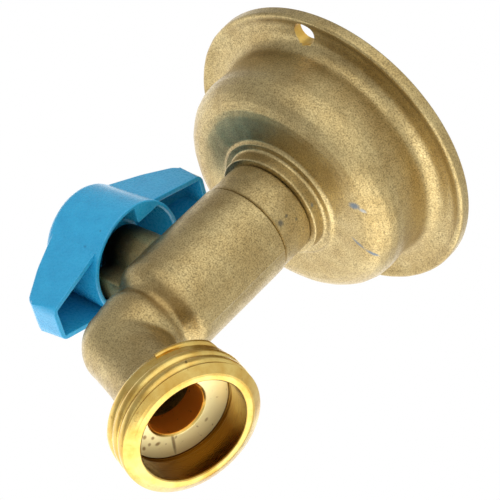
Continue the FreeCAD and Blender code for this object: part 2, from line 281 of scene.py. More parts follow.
# grain is that of the moulding sand, lumps and cloud are the skin's unevenness and its patches
castBrass = {
    "light": "#B8A576", "middle": "#A58F60", "handleShade": "#2E2A24", "roughness": 0.38,
    "grain": 0.3, "grainHeight": 0.06, "lumps": 1.1, "lumpsHeight": 0.08, "cloud": 9.0,
    # the near black brown at this place and size is painted shade on the boss under the handle
    "handleShadePlace": (-1.0, -46.5, 19.0), "handleShadeSize": (12.0, 12.0, 8.5),
    "marks": [
        ((4.7, -28.3, -9.3), 0.9, 0.9, (1, 0, 0), "#5A5850", 0.8),
        ((4.9, -26.3, -9.2), 0.5, 0.5, (1, 0, 0), "#5A5850", 0.7),
        ((3.1, -24.7, -10.0), 0.5, 0.5, (1, 0, 0), "#5A5850", 0.7),
        ((0.1, -23.9, -10.5), 0.4, 0.4, (1, 0, 0), "#5A5850", 0.6),
        ((3.9, -20.7, -10.8), 0.6, 0.5, (1, 0, 0), "#6E7C86", 0.7),
        ((2.4, -33.2, -10.0), 2.4, 0.25, (3.3, -4.1, 0.9), "#6A5A38", 0.6),
        ((4.9, -18.2, -19.3), 1.5, 1.0, (0, 0, 1), "#66727C", 0.9),
        ((4.0, -17.8, -20.9), 1.3, 0.5, (-1, 0, -2), "#8C949A", 0.7),
        ((-4.9, -18.1, -18.4), 2.1, 0.5, (-2.6, 0.2, -2.8), "#5E6A74", 0.9),
        ((-7.4, -17.35, -20.9), 2.1, 0.5, (-2.4, 1.65, -2.2), "#5E6A74", 0.9),
        # the last mark is painted shade in the valley between the chamber and the bead
        ((6.8, -56.8, -4.7), 5.5, 4.2, (0, 0, 1), "#8C7040", 0.55)],
}


def makeCastBrass(name):
    # brass, sand cast and tumbled: a matt warm metal with a fine bright grain, and shade painted
    # into its hollows
    material, tree = newMaterial(name)
    spec = castBrass
    place = add(tree, "ShaderNodeTexCoord").outputs["Object"]
    grain = add(tree, "ShaderNodeTexNoise", {
        "Vector": place, "Scale": perMm(spec["grain"]), "Detail": 3.0, "Roughness": 0.6})
    lumps = add(tree, "ShaderNodeTexNoise", {
        "Vector": place, "Scale": perMm(spec["lumps"]), "Detail": 2.0, "Roughness": 0.5})
    cloud = add(tree, "ShaderNodeTexNoise", {
        "Vector": place, "Scale": perMm(spec["cloud"]), "Detail": 4.0, "Roughness": 0.6})
    colour = add(tree, "ShaderNodeValToRGB", {"Fac": cloud},
                 ((0.35, spec["middle"]), (0.65, spec["light"])))
    speckle = add(tree, "ShaderNodeValToRGB", {"Fac": grain},
                  ((0.34, 0.55), (0.5, 0.9), (0.64, 1.12)))
    broad = add(tree, "ShaderNodeValToRGB", {"Fac": lumps}, ((0.3, 0.93), (0.7, 1.04)))
    for shade in (speckle, broad):
        colour = add(tree, "ShaderNodeMix", {"Factor": 1.0, 6: colour, 7: shade},
                     data_type="RGBA", blend_type="MULTIPLY")
    # painted shade: the boss is darkened where the handle shades it
    near = nearness(tree, place, spec["handleShadePlace"], spec["handleShadeSize"], 0.4)
    colour = add(tree, "ShaderNodeMix", {"Factor": near, 6: colour, 7: srgb(spec["handleShade"])},
                 data_type="RGBA")
    colour = marked(tree, place, colour, spec["marks"])
    bump = add(tree, "ShaderNodeBump", {
        "Height": grain, "Strength": 0.6, "Distance": spec["grainHeight"] * mm})
    bump = add(tree, "ShaderNodeBump", {
        "Height": lumps, "Normal": bump, "Strength": 0.3, "Distance": spec["lumpsHeight"] * mm})
    rough = add(tree, "ShaderNodeValToRGB", {"Fac": grain},
                ((0.35, spec["roughness"] + 0.12), (0.65, spec["roughness"] - 0.06)))
    shader = add(tree, "ShaderNodeBsdfPrincipled", {
        "Base Color": colour, "Metallic": 1.0, "Roughness": rough, "Normal": bump})
    add(tree, "ShaderNodeOutputMaterial", {"Surface": shader})
    return material


# The hose outlet's sizes stand here because its material reads some of them; heights run from
# the bend along the outlet's axis, and the lip is where the thread runs back on to the casting
outlet = {
    "rear": 19.45, "end": 27.4, "root": 13.3, "crest": 13.75, "bore": 5.5,
    "sleeve": 6.4, "sleeveStart": 14.6, "seat": 20.6, "seatRadius": 10.4,
    "undercut": 0.4, "undercutWidth": 0.9, "mouthCut": 0.3,
    "faceRadius": 11.5, "noseRadius": 13.6, "noseLength": 0.95, "noseRings": 4, "lineDepth": 0.06,
    "pitch": 2.209, "crestFlat": 1.5, "flank": 0.26,
    "turns": 2.75, "start": 20.45, "fades": (80.0, 120.0),
    "lipPitch": 3.6, "lipTurns": 0.44, "lipFlat": 1.0, "lipFade": 110.0,
    "lipPlace": 19.9, "lipAngle": 3.5, "lipFoot": 7.6, "lipFill": 2.4,
}

# line is the tool's feed, about 0.1 mm, drawn coarser so that it shows; a height and half height
# bound the wall above the seat that is painted brown as shade, and that shade fades over a span
# across the outlet
turnedBrass = {
    "light": "#CEB46A", "dark": "#B88F3E", "tarnish": "#8A5A20", "roughness": 0.18,
    "line": 0.16, "lineHeight": 0.03, "stain": 1.2, "cloud": 4.0,
    # the seat's pale colour is a painted reflection of bright light
    "seatGlare": "#F2E4AC", "seatGlareMatt": 0.26, "seatGlareHalf": 0.12,
    "wallShade": "#6E4812", "wallShadeMatt": 0.05, "wallShadeHeight": 3.3, "wallShadeHalf": 3.35,
    "wallShadeSpan": 8.0, "wallShadeStart": 0.1,
    # the bright orange inside the bore is painted light that keeps the deep bore from going dark
    "boreLight": "#F4A63E", "boreMatt": 0.3,
    "marks": [
        # the first mark is a painted dark reflection running across the seat
        ((-6.8, -74.95, -18.42), 3.6, 0.4, (-6.5, -0.6, 0.2), "#7A6038", 0.75),
        ((-2.1, -79.4, -16.8), 0.6, 0.5, (1, 0, 0), "#8A6430", 0.8),
        ((-3.3, -78.1, -17.2), 0.5, 0.4, (1, 0, 0), "#8A6430", 0.8),
        ((-5.2, -77.6, -17.4), 0.7, 0.5, (0, 1, 0), "#8A6430", 0.8),
        ((-4.3, -79.0, -16.9), 0.5, 0.4, (1, 0, 0), "#8A6430", 0.7),
        ((-4.5, -80.1, -16.5), 0.6, 0.4, (1, 0, 0), "#8A6430", 0.8),
        ((-6.0, -74.3, -18.7), 0.5, 0.3, (1, 1, 0), "#8A6430", 0.6),
        ((-5.0, -72.1, -19.5), 0.6, 0.4, (1, 1, 0), "#8A6430", 0.6),
        ((-3.7, -70.5, -20.1), 0.5, 0.3, (1, 1, 0), "#8A6430", 0.6),
        ((-5.9, -68.3, -20.9), 0.6, 0.4, (1, 1, 0), "#8A6430", 0.6),
        ((13.4, -71.5, -24.3), 0.5, 0.3, (0, 1, 1), "#5A4420", 0.8),
        ((6.9, -83.9, -15.6), 0.4, 0.4, (1, 0, 0), "#8A6A30", 0.6)],
}


def makeTurnedBrass(name, centre, turn, dull=0.0, mouth=False):
    # brass straight off the lathe: bright, with fine rings left by the tool, small brown stains
    material, tree = newMaterial(name)
    spec = turnedBrass
    place = add(tree, "ShaderNodeTexCoord").outputs["Object"]
    lathe = add(tree, "ShaderNodeMapping", {
        "Vector": place, "Location": [v * mm for v in centre], "Rotation": turn},
        vector_type="TEXTURE")
    axes = add(tree, "ShaderNodeSeparateXYZ", {"Vector": lathe})
    across, height = axes.outputs["X"], axes.outputs["Z"]
    flat = add(tree, "ShaderNodeCombineXYZ", {"X": across, "Y": axes.outputs["Y"]})
    radius = add(tree, "ShaderNodeVectorMath", {0: flat}, operation="LENGTH")
    cone = add(tree, "ShaderNodeMath", {0: radius, 1: height}, operation="ADD")
    ring = add(tree, "ShaderNodeCombineXYZ", {"X": cone})
    lines = add(tree, "ShaderNodeTexNoise", {
        "Vector": ring, "Scale": perMm(spec["line"]), "Detail": 2.0})
    cloud = add(tree, "ShaderNodeTexNoise", {
        "Vector": place, "Scale": perMm(spec["cloud"]), "Detail": 4.0, "Roughness": 0.6})
    stain = add(tree, "ShaderNodeTexNoise", {
        "Vector": place, "Scale": perMm(spec["stain"]), "Detail": 2.0})
    clean = add(tree, "ShaderNodeValToRGB", {"Fac": cloud},
                ((0.3, spec["dark"]), (0.65, spec["light"])))
    matt = spec["roughness"] + dull
    rough = add(tree, "ShaderNodeValToRGB", {"Fac": lines}, ((0.3, matt), (0.7, matt + 0.1)))
    if mouth:
        # painted light in the mouth: the washer seat painted pale as a reflection of bright light,
        # and matt; the wall round it painted brown as shade; the bore painted a bright orange to
        # lighten it
        seat = add(tree, "ShaderNodeMath", {
            0: height, 1: outlet["seat"] * mm, 2: spec["seatGlareHalf"] * mm}, operation="COMPARE")
        wall = add(tree, "ShaderNodeMath", {
            0: height, 1: (outlet["seat"] + spec["wallShadeHeight"]) * mm, 2: spec["wallShadeHalf"] * mm},
            operation="COMPARE")
        low = add(tree, "ShaderNodeMath", {
            0: across, 1: -1 / (spec["wallShadeSpan"] * mm), 2: spec["wallShadeStart"]},
            operation="MULTIPLY_ADD", use_clamp=True)
        shadedWall = add(tree, "ShaderNodeMath", {0: wall, 1: low}, operation="MULTIPLY")
        # for each: its heights, the radius that it ends at, its colour and how much duller it is
        regions = ((shadedWall, outlet["seatRadius"] + 0.6, spec["wallShade"], spec["wallShadeMatt"]),
                   (seat, outlet["seatRadius"] - 0.05, spec["seatGlare"], spec["seatGlareMatt"]),
                   (1.0, outlet["bore"] + 0.1, spec["boreLight"], spec["boreMatt"]))
        for where, reach, tint, duller in regions:
            within = add(tree, "ShaderNodeMath", {0: radius, 1: reach * mm}, operation="LESS_THAN")
            amount = add(tree, "ShaderNodeMath", {0: within, 1: where}, operation="MULTIPLY")
            clean = add(tree, "ShaderNodeMix", {"Factor": amount, 6: clean, 7: srgb(tint)},
                        data_type="RGBA")
            rough = add(tree, "ShaderNodeMath", {0: amount, 1: duller, 2: rough},
                        operation="MULTIPLY_ADD")
    stained = add(tree, "ShaderNodeValToRGB", {"Fac": stain}, ((0.68, 0.0), (0.75, 0.6)))
    colour = add(tree, "ShaderNodeMix", {"Factor": stained, 6: clean, 7: srgb(spec["tarnish"])},
                 data_type="RGBA")
    colour = marked(tree, place, colour, spec["marks"])
    bump = add(tree, "ShaderNodeBump", {
        "Height": lines, "Strength": 0.3, "Distance": spec["lineHeight"] * mm})
    shader = add(tree, "ShaderNodeBsdfPrincipled", {
        "Base Color": colour, "Metallic": 1.0, "Roughness": rough, "Normal": bump})
    add(tree, "ShaderNodeOutputMaterial", {"Surface": shader})
    return material


# fine is the mould's own texture, drawn coarser so that it shows; specks is how far apart they are
bluePlastic = {
    "colour": "#2B9BC8", "deep": "#2592C0", "speck": "#1D5676", "roughness": 0.24,
    "flow": 2.6, "flowHeight": 0.06, "fine": 0.5, "fineHeight": 0.02, "specks": 5.0,
    # the mark is painted shade: a dark line where the front wing meets the hub
    "marks": [((8.1, -54.3, 19.15), 2.1, 0.3, (0, 0.62, -0.76), "#1A5F86", 0.7)],
}


def makeBluePlastic(name):
    # ABS, injection moulded: an even sky blue with a soft sheen, faint flow marks, a few specks
    material, tree = newMaterial(name)
    spec = bluePlastic
    place = add(tree, "ShaderNodeTexCoord").outputs["Object"]
    flow = add(tree, "ShaderNodeTexNoise", {
        "Vector": place, "Scale": perMm(spec["flow"]), "Detail": 3.0})
    fine = add(tree, "ShaderNodeTexNoise", {
        "Vector": place, "Scale": perMm(spec["fine"]), "Detail": 2.0})
    cells = add(tree, "ShaderNodeTexVoronoi", {"Vector": place, "Scale": perMm(spec["specks"])})
    clean = add(tree, "ShaderNodeValToRGB", {"Fac": flow},
                ((0.3, spec["deep"]), (0.7, spec["colour"])))
    dots = add(tree, "ShaderNodeValToRGB", {"Fac": cells}, ((0.03, 0.7), (0.06, 0.0)))
    colour = add(tree, "ShaderNodeMix", {"Factor": dots, 6: clean, 7: srgb(spec["speck"])},
                 data_type="RGBA")
    colour = marked(tree, place, colour, spec["marks"])
    bump = add(tree, "ShaderNodeBump", {
        "Height": flow, "Strength": 0.12, "Distance": spec["flowHeight"] * mm})
    bump = add(tree, "ShaderNodeBump", {
        "Height": fine, "Normal": bump, "Strength": 0.1, "Distance": spec["fineHeight"] * mm})
    rough = add(tree, "ShaderNodeValToRGB", {"Fac": fine},
                ((0.3, spec["roughness"]), (0.7, spec["roughness"] + 0.08)))
    shader = add(tree, "ShaderNodeBsdfPrincipled", {
        "Base Color": colour, "Roughness": rough, "Normal": bump, "IOR": 1.45,
        "Subsurface Weight": 0.05, "Subsurface Radius": (0.6 * mm, 1.0 * mm, 1.4 * mm)})
    add(tree, "ShaderNodeOutputMaterial", {"Surface": shader})
    return material


def makeFitting(name, light, dark, grain, metallic, roughness, bumpHeight, ior=1.5):
    # the small fittings: two tones and a grain, which is drawn coarser than the real one
    material, tree = newMaterial(name)
    place = add(tree, "ShaderNodeTexCoord").outputs["Object"]
    pattern = add(tree, "ShaderNodeTexNoise", {
        "Vector": place, "Scale": perMm(grain), "Detail": 4.0, "Roughness": 0.6})
    colour = add(tree, "ShaderNodeValToRGB", {"Fac": pattern}, ((0.3, dark), (0.7, light)))
    bump = add(tree, "ShaderNodeBump", {
        "Height": pattern, "Strength": 0.4, "Distance": bumpHeight * mm})
    rough = add(tree, "ShaderNodeValToRGB", {"Fac": pattern},
                ((0.3, roughness), (0.7, roughness * 1.3)))
    shader = add(tree, "ShaderNodeBsdfPrincipled", {
        "Base Color": colour, "Metallic": metallic, "Roughness": rough, "Normal": bump,
        "IOR": ior})
    add(tree, "ShaderNodeOutputMaterial", {"Surface": shader})
    return material


sandCastBrass = makeCastBrass("sandCastBrass")
outletTurn = Matrix.Rotation(math.pi - outletTilt, 3, "X").to_euler()
latheBrassOutlet = makeTurnedBrass("latheBrassOutlet", bendPlace, outletTurn, mouth=True)
latheBrassStem = makeTurnedBrass("latheBrassStem", stemPlace, (0, 0, 0), 0.08)
latheBrassBody = makeTurnedBrass("latheBrassBody", origin, (math.pi / 2, 0, 0), 0.1)
mouldedBlue = makeBluePlastic("mouldedBlue")
# PTFE, sintered and turned: waxy white, a little translucent
waxyWhite = makeFitting("waxyWhite", "#F2F1EA", "#E2E0D6", 1.5, 0.0, 0.42, 0.02, 1.38)
# nitrile rubber, moulded: near black with a dull sheen
blackRubber = makeFitting("blackRubber", "#1B1B1C", "#0E0E0F", 0.8, 0.0, 0.5, 0.02)
# hard chrome on brass, polished: a cool mirror
polishedChrome = makeFitting("polishedChrome", "#E3E6EA", "#D2D6DC", 3.0, 1.0, 0.06, 0.003)
# zinc plated steel: bluish grey with a fine drawn grain
zincSteel = makeFitting("zincSteel", "#C9CCD0", "#A2A8AE", 0.4, 1.0, 0.3, 0.01)
print("materials ready")


# Valve body: chamber, neck bead, bend, outlet tube and boss cast in one, then bored

body = {
    "radius": 10.5, "endRadius": 10.3, "endCut": 0.2, "nose": -55.0, "noseCut": 1.6,
    "neckRadius": 7.4, "neck": -57.2, "neckCut": 1.0, "beadRadius": 8.7, "bead": -59.7,
    "beadCut": 1.3, "bendRadius": 7.95, "waist": 7.55, "waistPlace": 5.5, "waistCut": 5.0,
    "tubeRadius": 8.0, "tubeEnd": 19.9, "bossRadius": 5.8, "bossTop": 18.6, "topCut": 0.3,
    "stopRadius": 9.8, "stopTop": 17.4, "stopOpenSide": -6.75, "stopShutSide": 2.2,
    "witness": -29.8, "witnessStep": 0.1, "witnessDepth": 0.22, "witnessHalf": 0.11,
    "ridgeSize": 0.5, "ridgeHeight": 0.2,
    "voxel": 0.25, "smoothing": 4, "swell": 2.2, "swellHeight": 0.05,
    "cornerPlace": (0, -62.5, -6.5), "cornerReach": 12.0, "cornerSmoothing": 70,
    "chamber": 8.8, "chamberEnd": -52.6, "socket": 9.4, "socketEnd": -22.4, "passageStart": -50.0,
    "spindle": 4.6, "spindleStep": 11.45, "spindleNeck": 3.55, "through": 30.0,
    "sharpAngle": 60.0,
}


def quadrantStop():
    # the flat-sided block that the handle's lugs meet
    spec = body
    disc = rod(spec["stopRadius"], 0, spec["stopTop"], stemPlace, stemAxis, spec["topCut"], 96)
    piece = makePiece("stop", disc, sandCastBrass)
    low = stemPlace + Vector((spec["stopOpenSide"], -spec["stopRadius"] - 1, -1))
    high = stemPlace + Vector((spec["stopShutSide"], 0, spec["stopTop"] + 1))
    carve(piece, [block(low, high)], "INTERSECT")
    return taken(piece)


def partingRidge():
    # the thin line where the two halves of the mould met, under the chamber
    spec = body
    bm = bmesh.new()
    bmesh.ops.create_cube(bm, size=1.0)
    length = spec["witness"] - spec["nose"] - 2
    size = spec["ridgeSize"]
    bmesh.ops.scale(bm, vec=(size, length, 2 * size), verts=bm.verts)
    bmesh.ops.rotate(bm, cent=origin, matrix=Matrix.Rotation(math.pi / 4, 3, "Y"), verts=bm.verts)
    depth = size - spec["radius"] - spec["ridgeHeight"]
    bmesh.ops.translate(bm, vec=(0, spec["witness"] - length / 2, depth), verts=bm.verts)
    return bm


def softenCorner(casting):
    # the corner between the neck and the outlet tube is well rounded
    spec = body
    corner = casting.vertex_groups.new(name="corner")
    for vert in casting.data.vertices:
        reach = (vert.co / mm - Vector(spec["cornerPlace"])).length / spec["cornerReach"]
        if reach < 1:
            corner.add([vert.index], min(3 * (1 - reach), 1.0), "REPLACE")
    blend = casting.modifiers.new("blend", "SMOOTH")
    blend.factor = 0.5
    blend.iterations = spec["cornerSmoothing"]
    blend.vertex_group = corner.name
    settle(casting, spec["sharpAngle"])
    casting.vertex_groups.clear()


def bodyCutters():
    # what the drill and the lathe take out, and the fine line round the chamber's end
    spec = body
    bore, through = outlet["bore"], spec["through"]
    chamber = turned([
        (0, spec["chamberEnd"], 0), (spec["chamber"], spec["chamberEnd"], 0),
        (spec["chamber"], spec["socketEnd"], 0), (spec["socket"], bodyEnd, 0),
        (spec["socket"], 0, 0), (0, 0, 0)])
    passage = rod(bore, bendPlace.y, spec["passageStart"], origin, bodyAxis)
    elbow = globe(bore, bendPlace, 64)
    sleeve = turned([
        (0, 0, 0), (bore, 0, 0), (bore, outlet["sleeveStart"], 0),
        (outlet["sleeve"], outlet["sleeveStart"], 0), (outlet["sleeve"], through, 0),
        (0, through, 0)], bendPlace, outletAxis)
    spindle = turned([
        (0, 0, 0), (spec["spindle"], 0, 0), (spec["spindle"], spec["spindleStep"], 0),
        (spec["spindleNeck"], spec["spindleStep"], 0), (spec["spindleNeck"], through, 0),
        (0, through, 0)], stemPlace, stemAxis)
    middle, half = spec["witness"] - spec["witnessStep"], spec["witnessHalf"]
    line = turned([
        (spec["radius"] - spec["witnessDepth"] - 0.1, middle, 0),
        (spec["radius"] + 0.5, middle - 3 * half, 0), (spec["radius"] + 0.5, middle + half, 0)])
    return [chamber, passage, elbow, sleeve, spindle, line]


def makeValveBody():
    spec = body
    chamber = turned([
        (0, bodyEnd, 0), (spec["endRadius"], bodyEnd, spec["endCut"]),
        (spec["endRadius"], spec["witness"], 0),
        (spec["radius"], spec["witness"] - spec["witnessStep"], 0.1),
        (spec["radius"], spec["nose"], spec["noseCut"]),
        (spec["neckRadius"], spec["neck"], spec["neckCut"]),
        (spec["beadRadius"], spec["bead"], spec["beadCut"]),
        (spec["bendRadius"], bendPlace.y, 0), (0, bendPlace.y, 0)])
    bend = globe(spec["bendRadius"], bendPlace, 96)
    tube = turned([
        (0, 0, 0), (spec["bendRadius"], 0, 0),
        (spec["waist"], spec["waistPlace"], spec["waistCut"]),
        (spec["tubeRadius"], spec["tubeEnd"], 0), (0, spec["tubeEnd"], 0)], bendPlace, outletAxis)
    boss = rod(spec["bossRadius"], 0, spec["bossTop"], stemPlace, stemAxis, spec["topCut"])
    parts = gather([chamber, bend, tube, boss, quadrantStop(), partingRidge()])
    casting = makePiece("castBody", parts, sandCastBrass)
    skin = casting.modifiers.new("skin", "REMESH")
    skin.mode = "VOXEL"
    skin.voxel_size = spec["voxel"] * mm
    soften = casting.modifiers.new("soften", "SMOOTH")
    soften.factor = 0.5
    soften.iterations = spec["smoothing"]
    settle(casting, spec["sharpAngle"])
    softenCorner(casting)
    unevenness(casting, spec["swell"], spec["swellHeight"], lambda p: p.y > bodyEnd - 0.3)
    carve(casting, bodyCutters(), sharpAngle=spec["sharpAngle"])
    placed(casting, "tap", "cast_brass", "valve_body")


makeValveBody()


# Hose outlet: thread, face, washer seat and bore, all turned on the lathe

def toothSection(flat, flank, low, root, crest):
    # one tooth of a thread with a gently rounded crest
    half = flat / 2
    foot = half + flank
    side = [(crest, half * 0.2), (crest - 0.05, half * 0.62), (crest - 0.2, half),
            (root, foot), (low, foot + 0.1)]
    return [(r, -h) for r, h in reversed(side)] + side


def outletBlank():
    # the outlet without its thread; the nose has fine turned rings
    spec = outlet
    end, seat, root = spec["end"], spec["seat"], spec["root"]
    deep, deepEnd = spec["seatRadius"] + spec["undercut"], seat + spec["undercutWidth"]
    nose = []
    for i in range(1, spec["noseRings"] + 1):
        share = i / spec["noseRings"]
        radius = spec["faceRadius"] + (spec["noseRadius"] - spec["faceRadius"]) * share
        height = end - spec["noseLength"] * share ** 1.4
        nose += [(radius - spec["lineDepth"], height + spec["lineDepth"], 0), (radius, height, 0)]
    return turned([
        (spec["bore"], spec["sleeveStart"], 0), (spec["bore"], seat - 0.5, 0),
        (spec["bore"] + 0.5, seat, 0), (deep, seat, 0.15), (deep, deepEnd, 0),
        (spec["seatRadius"], deepEnd + 0.3, 0.1), (spec["seatRadius"], end - spec["mouthCut"], 0.1),
        (spec["seatRadius"] + spec["mouthCut"], end, 0.12), (spec["faceRadius"], end, 0.15),
        *nose,
        (root, end - spec["noseLength"] - 0.2, 0.1), (root, spec["rear"] + 0.5, 0.2),
        (root - 0.35, spec["rear"], 0.15), (spec["sleeve"] + 0.6, spec["rear"], 0),
        (spec["sleeve"], spec["rear"] - 0.4, 0), (spec["sleeve"], spec["sleeveStart"], 0)],
        bendPlace, outletAxis, steps=192)


def makeOutlet():
    spec = outlet
    root, crest, flank = spec["root"], spec["crest"], spec["flank"]
    tooth = toothSection(spec["crestFlat"], flank, root - 0.3, root, crest)
    thread = helix(tooth, bendPlace, outletAxis, spec["pitch"], spec["turns"], spec["start"],
                   spec["fades"], limit=spec["end"] - spec["noseLength"] - 0.05)
    # the lip is filled forward to the outlet and down to the tube; it stops square to its run
    lip = toothSection(spec["lipFlat"], flank, spec["lipFoot"], root, crest)[:-1]
    join = spec["lipFlat"] / 2 + flank + spec["lipFill"]
    lip += [(root - 0.02, join), (spec["lipFoot"], join)]
    rearLip = helix(lip, bendPlace, outletAxis, spec["lipPitch"], spec["lipTurns"],
                    spec["lipPlace"] - spec["lipPitch"] * spec["lipTurns"], (spec["lipFade"], 0.0),
                    spec["lipAngle"] - 360 * spec["lipTurns"], limit=spec["seat"] - 0.25)
    piece = makePiece("hoseOutlet", gather([outletBlank(), thread, rearLip]), latheBrassOutlet, 28)
    placed(piece, "tap", "turned_brass", "valve_body")


makeOutlet()


# Wall flange: rim, dished face, bell, stepped rings and the spigot inside the body

flange = {
    "rim": 32.6, "thick": 2.5, "lip": 1.1, "dish": 0.5, "dishSlope": 1.2,
    "rimCut": 0.35, "bellFoot": 25.0, "footCut": 3.0, "bell": 25.5, "bellFront": -18.2,
    "bellCut": 6.4, "ring": 13.1, "ringFront": -19.0, "neckRing": 11.5, "ringCut": 0.6,
    "spigot": 8.75, "spigotEnd": -32.7, "bore": 5.5,
    "hollow": 22.6, "hollowRoof": -15.8, "roofCut": 4.0, "socket": 13.0, "setback": -0.8,
    "pipe": 10.4, "pipeEnd": -15.3, "pipeCrest": 9.4, "pipePitch": 1.814, "pipeTurns": 6.6,
    "pipeStart": 1.6, "pipeTooth": (0.62, 0.56, 0.14),
    "screwHole": 2.4, "holeCircle": 28.8, "steps": 240, "span": 0.55,
    "swell": 3.0, "swellHeight": 0.06,
}


def makeFlange():
    spec = flange
    thick, bellFront, neckEnd = spec["thick"], spec["bellFront"], bodyEnd + 0.02
    face = -thick + spec["dish"]
    lipInside = spec["rim"] - spec["lip"]
    bm = turned([
        (spec["hollow"], 0, 0.4), (spec["rim"], 0, spec["rimCut"]),
        (spec["rim"] - 0.1, -thick, 0.6), (lipInside, -thick, spec["rimCut"]),
        (lipInside - spec["dishSlope"], face, 0.6), (spec["bellFoot"], face, spec["footCut"]),
        (spec["bell"], bellFront, spec["bellCut"]),
        (spec["ring"] + 0.3, bellFront - 0.2, spec["ringCut"]),
        (spec["ring"], spec["ringFront"], 0.45),
        (spec["neckRing"] + 0.1, spec["ringFront"], spec["ringCut"]),
        (spec["neckRing"], neckEnd, 0.3),
        (spec["spigot"], neckEnd, 0), (spec["spigot"], spec["spigotEnd"] + 0.5, 0),
        (spec["spigot"] - 0.5, spec["spigotEnd"], 0), (spec["bore"], spec["spigotEnd"], 0),
        (spec["bore"], spec["pipeEnd"] - 2, 0), (spec["pipeCrest"], spec["pipeEnd"], 0),
        (spec["pipe"], spec["pipeEnd"] + 0.8, 0), (spec["pipe"], spec["setback"] - 0.4, 0),
        (spec["pipe"] + 0.4, spec["setback"], 0.1), (spec["socket"], spec["setback"], 0.3),
        (spec["socket"], spec["hollowRoof"], 0.8),
        (spec["hollow"], spec["hollowRoof"], spec["roofCut"])],
        steps=spec["steps"], span=spec["span"])
    piece = makePiece("castFlange", bm, sandCastBrass)
    inside = spec["spigot"] + 0.1
    unevenness(piece, spec["swell"], spec["swellHeight"],
               lambda p: math.hypot(p.x, p.z) < inside or p.y > -0.5)
    centres = [Vector((side * spec["holeCircle"], 0, 0)) for side in (-1, 1)]
    carve(piece, [rod(spec["screwHole"], -6, 2, centre, bodyAxis, steps=64) for centre in centres])
    # the holes are drilled, so they are bright inside
    piece.data.materials.append(latheBrassBody)
    for wall in piece.data.polygons:
        place = wall.center / mm
        if math.hypot(abs(place.x) - spec["holeCircle"], place.z) < spec["screwHole"] + 0.05:
            wall.material_index = 1
    placed(piece, "tap", "cast_brass", "wall_flange")


def makePipeThread():
    # the right-hand female thread that the wall pipe screws into
    spec = flange
    below, foot, crest = spec["pipeTooth"]
    low = spec["pipe"] + 0.15
    tooth = [(low, -below), (spec["pipe"], -foot), (spec["pipeCrest"], -crest),
             (spec["pipeCrest"], crest), (spec["pipe"], foot), (low, below)]
    bm = helix(tooth, origin, bodyAxis, spec["pipePitch"], spec["pipeTurns"],
               spec["pipeEnd"] + spec["pipeStart"], steps=96)
    piece = makePiece("pipeThread", bm, latheBrassBody, 28)
    placed(piece, "tap", "turned_brass")


makeFlange()
makePipeThread()


# Handle: hub with a domed top, two hollow wings and two stop lugs, moulded in one

handle = {
    "skirt": 14.2, "skirtRadius": 11.75, "skirtWall": 1.0, "skirtCut": 0.3, "hub": 11.1,
    "domeBase": 27.7, "domeTop": 31.6, "domeWall": 1.5, "domeSteps": 14,
    "socket": 6.6, "socketFoot": 19.5, "recess": 4.4, "bush": 5.0, "bushFoot": 19.8,
    "bushTop": 25.6, "waist": (21.8, 23.6), "stemHole": 3.55,
    "wingStart": 3.0, "wingFoot": 15.4, "wingTop": 27.9, "reach": 22.2, "tipTop": 22.5,
    "tipHalf": 3.9, "middleHalf": 10.5, "shoulder": 15.5, "shoulderTop": 25.6, "draft": 0.5,
    "wall": 1.1, "roof": 1.3, "tipCut": 1.5, "tipCorner": 1.6, "shoulderCut": 1.0, "edge": 0.55,
    "hollowCorner": 0.4,
    "lugFace": 7.05, "lugSide": 2.5, "lugEdge": 0.3, "rim": 0.2, "seamWeld": 0.002,
}


def atStem(bm, side):
    # carries what was drawn round the origin to the stem, turned half round for side -1
    if side < 0:
        bmesh.ops.rotate(bm, cent=origin, matrix=Matrix.Rotation(math.pi, 3, "Z"), verts=bm.verts)
    bmesh.ops.translate(bm, vec=stemPlace, verts=bm.verts)
    return bm


def hubBlank(inset, foot, footCut, crown):
    # the hub's outside, or its inside when it is drawn in
    spec = handle
    rise = crown - spec["domeBase"]
    angles = [i * math.pi / 2 / spec["domeSteps"] for i in range(spec["domeSteps"])]
    dome = [((spec["hub"] - inset) * math.cos(a), spec["domeBase"] + rise * math.sin(a), 0)
            for a in angles]
    return turned([(0, foot, 0), (spec["skirtRadius"] - inset, foot, footCut), *dome,
                   (0, crown, 0)], stemPlace, stemAxis, steps=192)


def wingBlank(side, inset, roofDrop, foot, corner, edge):
    # one wing as a solid: its side view pulled out to the drafted plan
    spec = handle
    reach = spec["reach"] - inset
    view = [(spec["wingStart"], foot, 0), (reach, foot, 0),
            (reach, spec["tipTop"] - roofDrop, spec["tipCut"]),
            (spec["shoulder"], spec["shoulderTop"] - roofDrop, spec["shoulderCut"]),
            (spec["hub"] * 0.7, spec["wingTop"] - roofDrop, 0),
            (spec["wingStart"], spec["wingTop"] - roofDrop, 0)]
    bm = bmesh.new()
    drawOutline(bm, [((0, y, z), cut) for y, z, cut in view], segments=8)
    bmesh.ops.contextual_create(bm, geom=bm.edges[:])
    grown = bmesh.ops.extrude_face_region(bm, geom=bm.faces[:])
    far = {v for v in grown["geom"] if isinstance(v, bmesh.types.BMVert)}
    slope = (spec["middleHalf"] - spec["tipHalf"]) / spec["reach"]
    lean = spec["draft"] / (spec["wingTop"] - spec["wingFoot"])
    for vert in bm.verts:
        rise = vert.co.z - spec["wingFoot"]
        half = spec["middleHalf"] - inset - slope * vert.co.y - lean * rise
        vert.co.x = half if vert in far else -half
    bmesh.ops.recalc_face_normals(bm, faces=bm.faces)
    tips = [e for e in bm.edges if all(v.co.y > reach - 0.01 for v in e.verts)
            and abs(e.verts[0].co.z - e.verts[1].co.z) > 1]
    roundOff(bm, tips, corner, 8)
    bm.normal_update()
    if edge:
        shoulders = [e for e in bm.edges if e.calc_face_angle(0) > math.radians(40)
                     and max(f.normal.z for f in e.link_faces) > 0.2
                     and min(f.normal.y for f in e.link_faces) > -0.5]
        roundOff(bm, shoulders, edge, 5)
    atStem(bm, side)
    bmesh.ops.remove_doubles(bm, verts=bm.verts, dist=weld)
    bmesh.ops.recalc_face_normals(bm, faces=bm.faces)
    return bm


